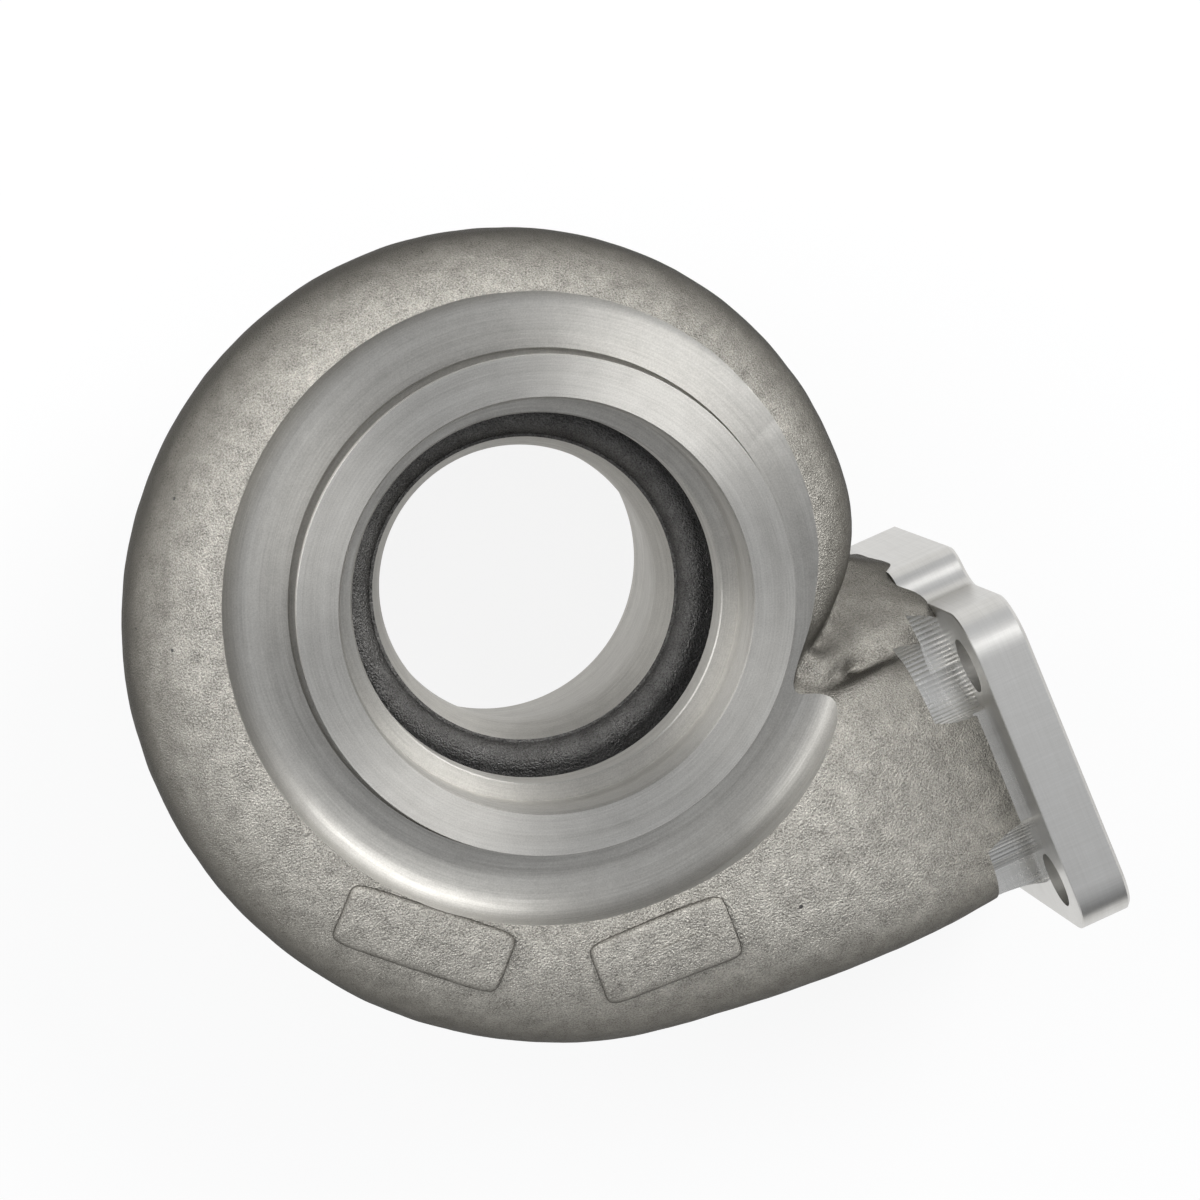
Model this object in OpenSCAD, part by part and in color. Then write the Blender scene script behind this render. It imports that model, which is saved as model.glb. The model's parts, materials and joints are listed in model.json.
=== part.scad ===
// Turbine housing of a turbocharger: one casting with a spiral gas passage.
// Z is the turbine axis, pointing to the bearing housing. The outlet face lies on z = 0.
// X points out of the inlet flange.

/* [Bearing end] */
// Height of the casting, from the outlet face to the bearing face
total_h = 114; // [112:0.5:122]
// Diameter of the clamp rim round the bearing face
rim_d = 113; // [111:0.5:115]
// Axial thickness of the clamp rim at its edge
rim_t = 3.2; // [2:0.2:4]
// Radial height of the clamp rim above the neck behind it
rim_lip = 4; // [3:0.5:5]
// Diameter of the wall of the turned clamp recess
recess_d = 145.6; // [143:0.2:147]
// Depth of the recess floor below the bearing face
recess_depth = 9; // [7:0.5:10]
// Radius of the turned fillet at the foot of the recess wall
recess_fillet = 5.7; // [3:0.1:6]
// Depth of the clamp groove below the recess floor
groove_depth = 2; // [1:0.5:4]
// Width of the groove outside the clamp rim
groove_w = 1.2; // [0.8:0.1:1.6]
// Diameter of the bearing housing's register
register_d = 93.2; // [91:0.1:94]
// Depth of the register
register_depth = 17.4; // [15:0.2:18]

/* [Wheel chamber] */
// Diameter of the heat shield bore below the register
shield_d = 85.2; // [82:0.1:87]
// Length of the heat shield bore
shield_l = 9.6; // [7:0.2:11]
// Axial width of the nozzle slot at the wheel
nozzle_w = 11.4; // [9:0.2:13]
// Outer diameter of the nozzle slot, inside the gas passage
nozzle_d = 121; // [118:1:124]
// Diameter of the shroud bore round the wheel's exit
shroud_d = 66.4; // [62:0.2:68]
// Radius of the rough-cast nose of the shroud
shroud_nose_r = 5; // [3:0.5:6]

/* [Outlet] */
// Diameter of the outlet bore
outlet_d = 76; // [72:0.5:78]
// Length of the straight outlet bore
outlet_l = 20; // [15:1:25]
// Diameter of the outlet clamp flange
outlet_rim_d = 98; // [96:0.5:102]
// Edge thickness of the outlet clamp flange
outlet_rim_t = 3.5; // [3:0.5:5]
// Wall thickness of the outlet neck
outlet_wall = 5; // [4:0.5:6]
// Radius of the cast fillet between the neck and the volute
outlet_fillet = 11; // [8:0.5:12]

/* [Volute] */
// Outer radius of the volute where the spiral starts
volute_start_r = 75.6; // [74:0.1:77]
// How far the spiral's start is drawn in, behind the tongue
tongue_draw = 13.5; // [12:0.5:15]
// Outer radius of the volute under the turbine axis, where the inlet duct begins
volute_end_r = 109.6; // [107:0.1:112]
// Share of the growth that speeds up along the spiral
volute_quicken = 0.54; // [0.4:0.02:0.65]
// Wall thickness between the gas passage and the outer surface
wall_t = 6.5; // [5:0.1:7.5]
// Depth of the volute's widest line below the bearing face
volute_mid_depth = 36; // [34:0.5:38]
// Radius from the widest line to the crown at the start of the spiral
crown_r_start = 18; // [16:0.5:20]
// Radius from the widest line to the crown at the end of the spiral
crown_r_end = 30; // [28:0.5:32]
// Height of the crown above the widest line at the start
crown_h_start = 27.2; // [25:0.2:28]
// Height of the crown above the widest line at the end
crown_h_end = 34.2; // [32:0.2:36]
// Depth of the belly under the widest line at the start
belly_h_start = 14; // [13:0.5:16]
// Depth of the belly under the widest line at the end
belly_h_end = 30; // [28.5:0.5:32]
// Area of the gas passage where it starts
passage_area_start = 90; // [60:5:120]
// Area of the gas passage at the end of the spiral
passage_area_end = 1700; // [1500:10:1750]
// Length of the first raised pad on the volute's flank
pad_l_1 = 39; // [34:0.5:41]
// Distance of the first pad's middle from the turbine axis
pad_r_1 = 80.8; // [80:0.1:82]
// Length of the second raised pad
pad_l_2 = 33; // [28:0.5:35]
// Distance of the second pad's middle from the turbine axis
pad_r_2 = 84; // [83:0.1:86]
// Width of the raised pads
pad_w = 14.2; // [12:0.2:15]
// Height of the raised pads
pad_h = 1.3; // [0.8:0.1:2]

/* [Inlet flange] */
// Distance of the inlet face from the turbine axis
inlet_x = 99.4; // [97:0.2:103]
// Thickness of the inlet flange
flange_t = 12.7; // [11:0.1:14]
// Length of the flange along the turbine axis
flange_l = 105; // [103:0.5:106]
// Depth of the flange's near edge below the bearing face
flange_near_depth = 5; // [4:0.5:7]
// Height of the flange across the near pair of bolts
flange_w = 81.5; // [80:0.5:84]
// Distance of the flange's middle line from the turbine axis
flange_y = 82.9; // [82:0.1:84]
// Extra height of the ear at the far end
ear_h = 8.8; // [6:0.2:10]
// Depth where the ear starts, below the bearing face
ear_depth = 49.5; // [48:0.5:52]
// Length of the step up to the ear, along the turbine axis
ear_step_l = 12; // [11:0.5:14]
// Radius of the flange corners
flange_corner_r = 11.4; // [9:0.1:12]
// Diameter of the bolt holes
bolt_d = 13.5; // [11:0.1:14]
// Distance of the upper bolt holes from the flange's edge on the tongue's side
bolt_edge = 13.8; // [12:0.1:14.5]
// Distance of the lower bolt holes from the flange's edge under the duct
bolt_low_edge = 12; // [11.5:0.1:14]
// Distance of the bolt holes from the flange's short edges
bolt_end = 14.5; // [13:0.1:16]
// Height of the inlet port
port_w = 48; // [44:0.5:50]
// Length of the inlet port along the turbine axis
port_l = 62; // [58:0.5:64]

/* [Duct and tongue] */
// Outer height of the duct at the flange
duct_w = 61; // [58:0.5:63]
// Outer length of the duct at the flange, along the turbine axis
duct_l = 75; // [72:0.5:77]
// Extra width of the duct's inner side, where it carries the recess's lip
tongue_fill = 6.5; // [5:0.5:7.5]
// Rise of the duct's crown between the volute and the flange
duct_crown = 6; // [4:0.5:7]
// Radius of the rib that runs from the tongue to the flange
rib_r = 3.2; // [3:0.1:3.6]
// Radius of the groove between the rib and the recess's lip
tongue_groove_r = 5; // [4.6:0.1:5.6]
// How far the ear's milled faces run on behind the flange
ear_back = 4; // [2:0.5:5]
// Radius of the pockets that clear the bolt heads behind the flange
pocket_r = 11.5; // [10:0.5:12]
// Length of the pockets
pocket_l = 14; // [11:0.5:15]
// Length by which the lower pockets run up along the flange
pocket_slide = 5.5; // [3:0.5:8]
// Width of the gap that is milled behind the flange, between its pockets
gap_w = 3.2; // [2:0.2:4]
// Extra height of the cast fillet where the duct meets the flange
flare_h = 3; // [2:0.5:4]

/* [Mesh] */
// Degrees between the volute's sections
volute_step = 10; // [7.5, 10, 15]
// Sections along the duct
duct_steps = 12; // [8:1:14]
// Points round an outer section
outer_points = 28; // [24:4:40]
// Points round a passage section
passage_points = 20; // [16:4:28]

/* [Hidden] */
cast_grey = "#a39f97";
machined_grey = "#b9b8b4";
eps = 0.01;
over = 4;
round_fn = 96;
clamp_angle = 20;

mid_z = total_h - volute_mid_depth;
recess_r = recess_d / 2;
floor_z = total_h - recess_depth;
nozzle_top = total_h - register_depth - shield_l;
nozzle_bottom = nozzle_top - nozzle_w;
flange_back_x = inlet_x - flange_t;
flange_top_z = total_h - flange_near_depth;
flange_low_z = flange_top_z - flange_l;
flange_mid_z = (flange_top_z + flange_low_z) / 2;
flange_in_y = -flange_y + flange_w / 2;
flange_out_y = -flange_y - flange_w / 2;
ear_y = flange_in_y + ear_h;
ear_z = total_h - ear_depth;
bolt_near_z = flange_top_z - bolt_end;
bolt_far_z = flange_low_z + bolt_end;
bolt_low_y = flange_out_y + bolt_low_edge;
neck_r = outlet_d / 2 + outlet_wall;
diffuser_top = nozzle_bottom - 24;
shroud_top = nozzle_bottom - 12;

// Ends of the tongue's rib and of the groove under it
rib_start = [52.4, -41.2, total_h - 14.8];
rib_end = [flange_back_x - 8.9, flange_in_y - 1.2, total_h - 39.5];
groove_start = rib_start + [1.2, -0.2, 1.8];
groove_end = rib_end + [-1.1, -0.6, 3.5];
groove_rise = [3, 2, 24];

// Corners of the web that fills the space between the rib, the ear and the spiral's start
web_r = 3.1;
web_corners = [
    rib_start + [-1.6, 1.8, -4.4],
    rib_end + [-1.5, 2.2, -3.6],
    [flange_back_x - 6.4, ear_y - 3.4, ear_z - 3.2],
    [flange_back_x - 1, ear_y - 3.6, ear_z - 8],
    [flange_back_x - 1, ear_y - 4.5, flange_low_z + 14],
    [flange_back_x - 1, flange_in_y - 5.5, ear_z - 6],
    [flange_back_x - 1, flange_in_y - 5.5, flange_low_z + 14],
    [73, -28.5, total_h - 54],
    [60.3, -28, total_h - 41.3],
    [66, -28, total_h - 75]
];

// The path coordinate s is the angle before the duct where it is negative, and the distance
// along the duct where it is positive. The spiral's first section is buried in the duct.
spiral_turn = 330;
passage_turn = 310;
draw_turn = 30;
draw_end = 278;
pad_s_1 = -43.5;
pad_s_2 = -4.2;

function mix(a, b, w) = a + (b - a) * w;
function ease(w) = w * w * (3 - 2 * w);
function turn_share(s) = min(1, (s + spiral_turn) / spiral_turn);
function duct_share(s) = max(0, s) / flange_back_x;
function signed_power(v, p) = sign(v) * pow(abs(v), p);

// A section lies in the plane through the turbine axis, and along the duct square to X
function place(s, r, z) =
    s <= 0 ? [r * cos(s - 90), r * sin(s - 90), z] : [s, -r, z];

// The last stretch before the flange flares like a cast fillet
function flare(s) = flare_h * pow(max(0, duct_share(s) - 0.86) / 0.14, 2);

// Outer form of the casting along the path. The spiral's outer line is drawn in where it starts.
function spiral_r(s) = let (u = turn_share(s), w = duct_share(s))
    volute_start_r
    + (volute_end_r - volute_start_r) * ((1 - volute_quicken) * u + volute_quicken * u * u)
    + (flange_y + duct_w / 2 - volute_end_r) * w * (2 - w) + flare(s);
function outer_r(s) =
    spiral_r(s) - tongue_draw * pow(min(1, max(0, -draw_end - s) / draw_turn), 1.6);
function crown_r(s) = let (w = duct_share(s))
    mix(spiral_r(s) - mix(crown_r_start, crown_r_end, turn_share(s)), flange_y, w);
function inner_r(s) = let (w = duct_share(s))
    mix(shield_d / 2 - 2, flange_y - duct_w / 2, pow(w, 4))
    - tongue_fill * sin(180 * w) - flare(s);
function section_z(s) = mix(mid_z, flange_mid_z, ease(duct_share(s)));
function crown_z(s) = let (w = duct_share(s), end_z = mid_z + crown_h_end)
    s <= 0 ? mid_z + mix(crown_h_start, crown_h_end, turn_share(s))
    : end_z + duct_crown * sin(180 * w) - (end_z - flange_mid_z - duct_l / 2) * pow(w, 3) + flare(s);
function belly_z(s) = let (w = duct_share(s))
    mix(mid_z - mix(belly_h_start, belly_h_end, turn_share(s)), flange_mid_z - duct_l / 2, ease(w)) - flare(s);
function squareness(s) = mix(2.15, 4, duct_share(s));

function outer_section(s) = [
    for (i = [0 : outer_points - 1])
        let (
            t = 360 * i / outer_points,
            p = 2 / squareness(s),
            out = cos(t) > 0 ? outer_r(s) - crown_r(s) : crown_r(s) - inner_r(s),
            up = sin(t) > 0 ? crown_z(s) - section_z(s) : section_z(s) - belly_z(s)
        )
        place(s, crown_r(s) + out * signed_power(cos(t), p), section_z(s) + up * signed_power(sin(t), p))
];

// Gas passage: its area grows evenly round the spiral, and it keeps to the outer wall
function passage_share(s) = min(1, (s + passage_turn) / passage_turn);
function passage_half(s) =
    sqrt(mix(passage_area_start, passage_area_end, passage_share(s)) / PI);
function passage_section(s) = [
    let (
        w = min(1, duct_share(s)),
        half_r = mix(passage_half(s), port_w / 2, w),
        half_z = mix(passage_half(s), port_l / 2, ease(w)),
        mid_r = mix(outer_r(min(s, 0)) - wall_t - half_r, flange_y, w * (2 - w)),
        z = mix(mix(nozzle_bottom + nozzle_w / 2, mid_z, max(0, passage_share(s))), flange_mid_z, ease(w)),
        p = 2 / mix(2, 5, w)
    )
    for (i = [0 : passage_points - 1])
        let (t = 360 * i / passage_points)
        place(s, mid_r + half_r * signed_power(cos(t), p), z + half_z * signed_power(sin(t), p))
];

// Closed loft through rings with the same number of points
module loft(rings) {
    n = len(rings[0]);
    m = len(rings);
    points = [for (ring = rings, p = ring) p];
    sides = [
        for (k = [0 : m - 2], i = [0 : n - 1])
            let (a = k * n + i, b = k * n + (i + 1) % n, c = b + n, d = a + n)
            each [[a, b, c], [a, c, d]]
    ];
    start = [for (i = [n - 1 : -1 : 0]) i];
    finish = [for (i = [0 : n - 1]) (m - 1) * n + i];
    polyhedron(points, concat([start], sides, [finish]), convexity = 10);
}

function spiral_stations(turn, step) = [for (s = [-turn : step : -step / 2]) s];
function duct_stations(length, steps) = [for (k = [0 : steps]) length * k / steps];

module volute_body() {
    color(cast_grey)
    loft([for (s = concat(spiral_stations(spiral_turn, volute_step), [0])) outer_section(s)]);
}

module duct_body() {
    color(cast_grey)
    loft([for (s = duct_stations(flange_back_x + 2, duct_steps)) outer_section(s)]);
}

module gas_passage() {
    color(cast_grey)
    loft([
        for (s = concat(spiral_stations(passage_turn, volute_step * 4 / 3), duct_stations(inlet_x + 2, duct_steps)))
            passage_section(s)
    ]);
}

// Points of an arc, for turned profiles
function arc(c, r, a0, a1, n = 8) =
    [for (i = [0 : n]) let (a = mix(a0, a1, i / n)) [c[0] + r * cos(a), c[1] + r * sin(a)]];

// Solid core that carries the clamp rim, the nozzle walls and the outlet neck
module hub_and_neck() {
    shoulder_r = volute_start_r - crown_r_start;
    shoulder_z = mid_z - belly_h_start;
    rim_cone = (outlet_rim_d / 2 - neck_r - 1) * tan(clamp_angle);
    color(cast_grey)
    rotate_extrude($fn = round_fn)
    polygon(concat(
        [
            [0, 0],
            [outlet_rim_d / 2, 0],
            [outlet_rim_d / 2, outlet_rim_t],
            [neck_r + 1, outlet_rim_t + rim_cone],
            [neck_r, outlet_rim_t + rim_cone + 1]
        ],
        arc([neck_r + outlet_fillet, shoulder_z - outlet_fillet], outlet_fillet, 180, 90),
        [
            [shoulder_r + 3, shoulder_z],
            [shoulder_r + 3, floor_z - groove_depth - 1],
            [rim_d / 2, floor_z - groove_depth - 1],
            [rim_d / 2, total_h],
            [0, total_h]
        ]
    ));
}

// Turned recess round the clamp rim, with its undercut groove
module clamp_recess() {
    rim_neck_r = rim_d / 2 - rim_lip;
    rim_cone = rim_lip * tan(clamp_angle);
    foot_r = recess_r - recess_fillet;
    color(machined_grey)
    rotate_extrude($fn = round_fn)
    polygon(concat(
        [
            [rim_d / 2, total_h + over * 2],
            [rim_d / 2, total_h - rim_t],
            [rim_neck_r, total_h - rim_t - rim_cone],
            [rim_neck_r, floor_z - groove_depth],
            [rim_d / 2 + groove_w, floor_z - groove_depth],
            [rim_d / 2 + groove_w, floor_z]
        ],
        arc([foot_r, floor_z + recess_fillet], recess_fillet, -90, 0),
        [[recess_r, total_h + over * 2]]
    ));
}

// Register, heat shield bore, nozzle slot, shroud and diffuser, from the bearing face down
module wheel_chamber() {
    nose = shroud_nose_r;
    shroud_r = shroud_d / 2;
    lip_r = shroud_r + 2.5;
    color(machined_grey) {
        translate([0, 0, total_h - register_depth])
            cylinder(d = register_d, h = register_depth + over, $fn = round_fn);
        translate([0, 0, nozzle_top - eps])
            cylinder(d = shield_d, h = shield_l + over, $fn = round_fn);
        translate([0, 0, -over])
            cylinder(d = outlet_d, h = outlet_l + over, $fn = round_fn);
        rotate_extrude($fn = round_fn)
        polygon(concat(
            [
                [0, outlet_l - 1],
                [outlet_d / 2 - eps, outlet_l - 1],
                [outlet_d / 2 - eps, outlet_l],
                [shroud_r, diffuser_top],
                [shroud_r, shroud_top],
                [lip_r, nozzle_bottom - nose / 2]
            ],
            arc([lip_r + nose, nozzle_bottom - nose], nose, 150, 60, 6),
            [
                [nozzle_d / 2, nozzle_bottom - 4],
                [nozzle_d / 2, nozzle_top],
                [0, nozzle_top]
            ]
        ));
    }
}

// Flange outline in the plane of Y and Z, drawn with x as Y and y as Z
module corner_box(y0, z0, y1, z1, r) {
    translate([y0 + r, z0]) square([y1 - y0 - 2 * r, z1 - z0]);
    translate([y0, z0 + r]) square([y1 - y0, z1 - z0 - 2 * r]);
    for (y = [y0 + r, y1 - r], z = [z0 + r, z1 - r])
        translate([y, z]) circle(r, $fn = round_fn);
}

module flange_outline() {
    step_r = (ear_h * ear_h + ear_step_l * ear_step_l) / (4 * ear_h);
    corner_box(flange_out_y, flange_low_z, flange_in_y, flange_top_z, flange_corner_r);
    corner_box(-flange_y, flange_low_z, ear_y, ear_z + step_r, step_r);
    difference() {
        translate([flange_in_y - 1, ear_z]) square([ear_h / 2 + 1, ear_step_l]);
        translate([flange_in_y + step_r, ear_z + ear_step_l]) circle(step_r, $fn = round_fn);
    }
}

module inlet_flange() {
    color(machined_grey) {
        translate([flange_back_x, 0, 0])
            rotate([90, 0, 90])
            linear_extrude(flange_t)
            flange_outline();
        translate([flange_back_x - ear_back, 0, 0])
            rotate([90, 0, 90])
            linear_extrude(ear_back + 1)
            intersection() {
                flange_outline();
                translate([flange_in_y - 1, flange_low_z])
                    square([ear_h + 2, ear_z + ear_step_l - flange_low_z]);
            }
    }
}

// Height of the casting's upper flank over the point at radius r on section s
function flank_z(s, r) =
    let (p = squareness(s), share = min(1, max(0, r - crown_r(s)) / (outer_r(s) - crown_r(s))))
    section_z(s) + (crown_z(s) - section_z(s)) * pow(1 - pow(share, p), 1 / p);

// Raised pad that follows the flank: rings from its middle out to its edge, then down into the wall
module flank_pad(angle, r, length) {
    corner = 2 / 7;
    rings = [[0.05, 1], [0.5, 1], [0.97, 1], [1, 0.6], [1, -1.6]];
    color(cast_grey)
    loft([
        for (ring = rings) [
            for (i = [0 : 31])
                let (
                    t = 360 * i / 32,
                    along = ring[0] * length / 2 * signed_power(cos(t), corner),
                    out = r + ring[0] * pad_w / 2 * signed_power(sin(t), corner),
                    a = angle - along / r * 180 / PI
                )
                place(a, out, flank_z(a, out) + pad_h * ring[1])
        ]
    ]);
}

// Rounded rib from the tongue to the flange
module tongue_rib() {
    color(cast_grey)
    hull() {
        translate(rib_start) sphere(rib_r, $fn = 28);
        translate(rib_end) sphere(rib_r, $fn = 28);
    }
}

// Groove that parts the rib from the lip of the recess
module tongue_groove() {
    color(cast_grey)
    hull()
    for (point = [groove_start, groove_end], rise = [[0, 0, 0], groove_rise])
        translate(point + rise) sphere(tongue_groove_r, $fn = 28);
}

module tongue_web() {
    color(cast_grey)
    hull()
    for (corner = web_corners)
        translate(corner) sphere(web_r, $fn = 20);
}

// Pocket behind the flange, milled along X round one bolt
module bolt_pocket(y, z) {
    translate([flange_back_x - pocket_l, y, z])
    rotate([0, 90, 0])
    cylinder(r = pocket_r, h = pocket_l, $fn = round_fn);
}

// Pockets of one pair of bolts, and the gap that joins them; out is 1 on the bearing side
module pocket_pair(upper_y, z, out) {
    reach = pocket_r + bolt_end + over;
    color(machined_grey) {
        bolt_pocket(upper_y, z);
        bolt_pocket(bolt_low_y, z);
        bolt_pocket(bolt_low_y + pocket_slide, z);
        translate([flange_back_x - pocket_l, bolt_low_y, out > 0 ? z - pocket_r : z])
            cube([pocket_l, pocket_slide, pocket_r]);
        translate([flange_back_x - gap_w, bolt_low_y, out > 0 ? z - pocket_r : z + pocket_r - reach])
            cube([gap_w, upper_y - bolt_low_y, reach]);
    }
}

module bolt_pockets() {
    pocket_pair(flange_in_y - bolt_edge, bolt_near_z, 1);
    pocket_pair(ear_y - bolt_edge, bolt_far_z, -1);
}

module bolt_hole(y, z) {
    translate([flange_back_x - over, y, z])
        rotate([0, 90, 0])
        cylinder(d = bolt_d, h = flange_t + 2 * over, $fn = round_fn);
}

module bolt_holes() {
    color(machined_grey) {
        bolt_hole(bolt_low_y, bolt_near_z);
        bolt_hole(flange_in_y - bolt_edge, bolt_near_z);
        bolt_hole(bolt_low_y, bolt_far_z);
        bolt_hole(ear_y - bolt_edge, bolt_far_z);
    }
}

difference() {  // turbine_housing
        union() {
            difference() {
                union() {
                    volute_body();
                    duct_body();
                    hub_and_neck();
                }
                tongue_groove();
            }
            tongue_web();
            tongue_rib();
            flank_pad(pad_s_1, pad_r_1, pad_l_1);
            flank_pad(pad_s_2, pad_r_2, pad_l_2);
            inlet_flange();
        }
        clamp_recess();
        wheel_chamber();
        gas_passage();
        bolt_pockets();
        bolt_holes();
    }
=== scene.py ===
# %% [markdown]
# # A turbocharger's turbine housing
# The housing is one iron casting. Hot gas comes in through the flange on the right, runs
# round a spiral that narrows, and leaves through the wheel chamber in the middle. Sand
# casting gives it a fine grain and soft corners. A lathe and a milling cutter then give it
# bright faces with crisp edges, wherever another part bolts on.
#
# The lesson follows the foundry and the machine shop. First the raw casting is modelled and
# its corners are melted together, then it is turned, bored, milled and drilled.

# %% Load the frame
import json
import math

import bpy
from mathutils import Matrix, Vector


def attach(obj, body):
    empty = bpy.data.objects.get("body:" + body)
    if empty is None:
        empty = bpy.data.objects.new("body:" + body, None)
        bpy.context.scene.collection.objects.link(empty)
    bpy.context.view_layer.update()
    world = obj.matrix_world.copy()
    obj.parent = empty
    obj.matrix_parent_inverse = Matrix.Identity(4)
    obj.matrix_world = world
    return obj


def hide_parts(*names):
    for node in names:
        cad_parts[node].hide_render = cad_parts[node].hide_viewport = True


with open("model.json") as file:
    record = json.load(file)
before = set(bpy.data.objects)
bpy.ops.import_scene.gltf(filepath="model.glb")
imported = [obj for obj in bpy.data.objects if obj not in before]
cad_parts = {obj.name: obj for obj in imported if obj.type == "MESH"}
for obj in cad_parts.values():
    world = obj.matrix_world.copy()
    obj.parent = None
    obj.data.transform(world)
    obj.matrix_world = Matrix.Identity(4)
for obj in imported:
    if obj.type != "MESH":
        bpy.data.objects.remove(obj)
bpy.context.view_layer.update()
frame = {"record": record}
mounts = {mount["name"]: mount for mount in frame["record"]["mounts"]}
MM = 0.001

# %% [markdown]
# ## Sizes
# The sizes that another part depends on come from the frame's mounts, so the looks can't
# drift away from the construction. The rest are the casting's own sizes, in millimetres,
# and every later step works from them.

# %% Sizes from the mounts
TOTAL_H = mounts["bearing_face"]["pos_m"][2] / MM
REGISTER_R = mounts["register_bore"]["dims"]["r_mm"]
REGISTER_DEPTH = mounts["register_bore"]["dims"]["length_mm"]
SHIELD_R = mounts["shield_bore"]["dims"]["r_mm"]
SHIELD_L = mounts["shield_bore"]["dims"]["length_mm"]
SHROUD_R = mounts["shroud_bore"]["dims"]["r_mm"]
OUTLET_R = mounts["outlet_bore"]["dims"]["r_mm"]
OUTLET_L = mounts["outlet_bore"]["dims"]["length_mm"]
INLET_X = mounts["inlet_face"]["pos_m"][0] / MM
BOLT_R = mounts["inlet_bolts_near"]["dims"]["hole_r_mm"]


def bolt_places():
    """The middles of the four inlet bolts, as (Y, Z) in millimetres."""
    places = []
    for name in ("inlet_bolts_near", "inlet_bolts_far"):
        _, y, z = mounts[name]["pos_m"]
        half = mounts[name]["dims"]["spacing_x_mm"] / 2
        places += [(y / MM - half, z / MM), (y / MM + half, z / MM)]
    return places


print("the bolts are at", bolt_places())

# %% Sizes of the casting
RIM_R, RIM_T, RIM_LIP = 56.5, 3.2, 4.0
RECESS_R, RECESS_DEPTH, RECESS_FILLET = 72.8, 9.0, 5.7
GROOVE_W, GROOVE_DEPTH = 1.2, 2.0
NOZZLE_W, NOZZLE_R, NOSE_R, LIP_CONE = 11.4, 60.5, 5.0, 2.5
OUTLET_RIM_R, OUTLET_RIM_T, OUTLET_WALL, OUTLET_FILLET = 49.0, 3.5, 5.0, 11.0
CLAMP_ANGLE = math.radians(20)

START_R, END_R, QUICKEN = 75.6, 109.6, 0.54
TONGUE_DRAW, TONGUE_FILL, DRAW_TURN, DRAW_END = 13.5, 6.5, 30.0, 278.0
CROWN_R, CROWN_H, BELLY_H = (18.0, 30.0), (27.2, 34.2), (14.0, 30.0)
MID_DEPTH, WALL_T = 36.0, 6.5
PASSAGE_AREA = (90.0, 1700.0)

FLANGE_T, FLANGE_L, FLANGE_W, FLANGE_Y, FLANGE_NEAR = 12.7, 105.0, 81.5, 82.9, 5.0
EAR_H, EAR_STEP_L, EAR_DEPTH, FLANGE_CORNER = 8.8, 12.0, 49.5, 11.4
PORT_W, PORT_L = 48.0, 62.0
DUCT_W, DUCT_L, DUCT_CROWN, FLARE_H, FLARE_SHARE = 61.0, 75.0, 6.0, 3.0, 0.14
RIB_R, WEB_R, TONGUE_GROOVE_R, EAR_BACK = 3.2, 3.1, 5.0, 4.0
POCKET_R, POCKET_L, POCKET_SLIDE, POCKET_LIFT = 11.5, 14.0, 5.5, 3.0
FOOT_IN, FOOT_DEPTH = 6.0, 23.0
GAP_W, GAP_FLOOR = 3.2, 1.5
PAD_H = 1.3

MID_Z = TOTAL_H - MID_DEPTH
FLOOR_Z = TOTAL_H - RECESS_DEPTH
NOZZLE_TOP = TOTAL_H - REGISTER_DEPTH - SHIELD_L
NOZZLE_BOTTOM = NOZZLE_TOP - NOZZLE_W
FLANGE_BACK = INLET_X - FLANGE_T
FLANGE_TOP_Z = TOTAL_H - FLANGE_NEAR
FLANGE_LOW_Z = FLANGE_TOP_Z - FLANGE_L
FLANGE_MID_Z = (FLANGE_TOP_Z + FLANGE_LOW_Z) / 2
FLANGE_IN_Y = -FLANGE_Y + FLANGE_W / 2
FLANGE_OUT_Y = -FLANGE_Y - FLANGE_W / 2
EAR_Y = FLANGE_IN_Y + EAR_H
EAR_Z = TOTAL_H - EAR_DEPTH
NECK_R = OUTLET_R + OUTLET_WALL
LIP_R = SHROUD_R + LIP_CONE
print("the flange runs from", FLANGE_OUT_Y, "to", FLANGE_IN_Y, "across")

# %% [markdown]
# ## The path of the gas
# A spiral could be drawn by hand, section by section, but then no size could change. Here
# one number, s, walks along the whole path. Below zero it is the angle before the duct, and
# above zero the distance along the duct. Each function gives one size of the section at s.

# %% Functions along the path
SPIRAL_TURN, PASSAGE_TURN = 330.0, 310.0
SQUARENESS, PASSAGE_SQUARENESS = (2.15, 4.0), (2.0, 5.0)


def mix(a, b, w):
    return a + (b - a) * w


def ease(w):
    """A share from 0 to 1 that starts and ends gently."""
    return w * w * (3 - 2 * w)


def turn_share(s):
    """How much of the spiral lies behind s, from 0 to 1."""
    return min(1.0, (s + SPIRAL_TURN) / SPIRAL_TURN)


def duct_share(s):
    """How much of the duct lies behind s: 0 in the spiral and 1 at the flange's back."""
    return max(0.0, s) / FLANGE_BACK


def signed_power(value, power):
    return math.copysign(abs(value) ** power, value)


def place(s, r, z):
    """A point at radius r and height z in the section at s."""
    if s <= 0:
        angle = math.radians(s - 90)
        return (r * math.cos(angle), r * math.sin(angle), z)
    return (s, -r, z)


def flare(s):
    """How far the duct's last part flares out towards the flange."""
    return FLARE_H * (max(0.0, duct_share(s) - (1 - FLARE_SHARE)) / FLARE_SHARE) ** 2


def spiral_r(s):
    """The outer line as if the spiral began without a tongue."""
    u, w = turn_share(s), duct_share(s)
    spiral = START_R + (END_R - START_R) * ((1 - QUICKEN) * u + QUICKEN * u * u)
    return spiral + (FLANGE_Y + DUCT_W / 2 - END_R) * w * (2 - w) + flare(s)


def outer_r(s):
    """The spiral's outer line, drawn in where it starts behind the tongue."""
    drawn = min(1.0, max(0.0, -DRAW_END - s) / DRAW_TURN)
    return spiral_r(s) - TONGUE_DRAW * drawn ** 1.6


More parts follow.
